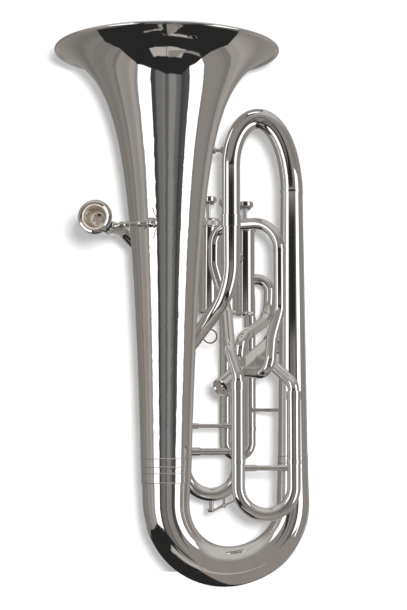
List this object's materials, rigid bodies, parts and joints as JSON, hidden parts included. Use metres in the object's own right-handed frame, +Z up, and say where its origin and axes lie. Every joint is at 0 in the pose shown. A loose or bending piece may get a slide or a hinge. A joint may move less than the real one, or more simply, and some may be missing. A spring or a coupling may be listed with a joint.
{
  "type": "tenor tuba",
  "caption": "Upright conical brass wind instrument with a flared bell, top-action piston valves, a side valve, sprung buttons and pull-out tuning slides.",
  "frame": {"origin": "lowest point of the bottom bow, midway between its two legs", "axes": "+Z up along the bell's axis, +X from the bell towards the outer branch, -Y towards the player's mouthpiece side"},
  "size_m": [0.3161, 0.28, 0.6621],
  "materials": {
    "silver_plate": "polished silver plate",
    "spring_steel": "bright wire"
  },
  "bodies": {
    "instrument": {"bell": "silver_plate", "bell_ferrule": "silver_plate", "bell_rim_bead": "silver_plate", "bell_top_brace": "silver_plate", "bottom_bow": "silver_plate", "bow_guard": "silver_plate", "branch_ferrule": "silver_plate", "crossover_tube": "silver_plate", "first_slide_sleeves": "silver_plate", "fourth_loop_crook": "silver_plate", "fourth_loop_link": "silver_plate", "fourth_loop_return": "silver_plate", "fourth_slide_feed": "silver_plate", "fourth_slide_sleeves": "silver_plate", "leadpipe": "silver_plate", "left_branch": "silver_plate", "main_sleeve_brace": "silver_plate", "main_slide_feed": "silver_plate", "main_slide_sleeves": "silver_plate", "mouthpiece_receiver": "silver_plate", "outer_branch": "silver_plate", "receiver_brace": "silver_plate", "second_slide_sleeves": "silver_plate", "strap_ring": "silver_plate", "third_slide_brace": "silver_plate", "third_slide_sleeves": "silver_plate", "top_bow": "silver_plate", "top_bow_ferrule": "silver_plate", "tube_ferrules": "silver_plate", "valve1_casing": "silver_plate", "valve1_spring": "spring_steel", "valve2_casing": "silver_plate", "valve2_spring": "spring_steel", "valve3_casing": "silver_plate", "valve3_spring": "spring_steel", "valve4_casing": "silver_plate", "valve4_spring": "spring_steel", "valve_bottom_caps": "silver_plate", "valve_knuckles": "silver_plate", "valve_top_caps": "silver_plate"},
    "valve_1": {"valve1_piston": "silver_plate", "valve1_button": "silver_plate"},
    "valve_2": {"valve2_piston": "silver_plate", "valve2_button": "silver_plate"},
    "valve_3": {"valve3_piston": "silver_plate", "valve3_button": "silver_plate"},
    "valve_4": {"valve4_piston": "silver_plate", "valve4_button": "silver_plate"},
    "main_slide": {"main_slide_crook": "silver_plate", "main_slide_brace": "silver_plate"},
    "first_slide": {"first_slide_crook": "silver_plate"},
    "second_slide": {"second_slide_crook": "silver_plate"},
    "third_slide": {"third_slide_crook": "silver_plate"},
    "fourth_slide": {"fourth_slide_crook": "silver_plate", "fourth_slide_brace": "silver_plate"},
    "mouthpiece_lift": {"mouthpiece": "silver_plate"},
    "water_key": {"water_key_lever": "silver_plate"}
  },
  "joints": [
    {"name": "valve_1_press", "type": "slide", "parent": "instrument", "child": "valve_1", "axis": [0, 0, -1], "range_m": [0, 0.0175], "stiffness_N_per_m": 150, "springref_m": -0.03, "deforming": ["valve1_spring"]},
    {"name": "valve_2_press", "type": "slide", "parent": "instrument", "child": "valve_2", "axis": [0, 0, -1], "range_m": [0, 0.0175], "stiffness_N_per_m": 150, "springref_m": -0.03, "deforming": ["valve2_spring"]},
    {"name": "valve_3_press", "type": "slide", "parent": "instrument", "child": "valve_3", "axis": [0, 0, -1], "range_m": [0, 0.0175], "stiffness_N_per_m": 150, "springref_m": -0.03, "deforming": ["valve3_spring"]},
    {"name": "valve_4_press", "type": "slide", "parent": "instrument", "child": "valve_4", "axis": [-0.6061, -0.6011, -0.5209], "range_m": [0, 0.0175], "stiffness_N_per_m": 150, "springref_m": -0.03, "deforming": ["valve4_spring"]},
    {"name": "main_slide_pull", "type": "slide", "parent": "instrument", "child": "main_slide", "axis": [0, 0, -1], "range_m": [0, 0.038]},
    {"name": "first_slide_pull", "type": "slide", "parent": "instrument", "child": "first_slide", "axis": [0, 0, -1], "range_m": [0, 0.03]},
    {"name": "second_slide_pull", "type": "slide", "parent": "instrument", "child": "second_slide", "axis": [-0.676, 0.7369, 0], "range_m": [0, 0.018]},
    {"name": "third_slide_pull", "type": "slide", "parent": "instrument", "child": "third_slide", "axis": [0, 0, -1], "range_m": [0, 0.08]},
    {"name": "fourth_slide_pull", "type": "slide", "parent": "instrument", "child": "fourth_slide", "axis": [0, 0, -1], "range_m": [0, 0.055]},
    {"name": "mouthpiece_out", "type": "slide", "parent": "instrument", "child": "mouthpiece_lift", "axis": [-0.106, -0.9944, 0], "range_m": [0, 0.04]},
    {"name": "water_key_turn", "type": "hinge", "parent": "main_slide", "child": "water_key", "pos_m": [-0.0061, 0.042, 0.0954], "axis": [0, -1, 0], "range_deg": [0, 12], "stiffness_Nm_per_rad": 0.05, "springref_deg": -17.19}
  ]
}
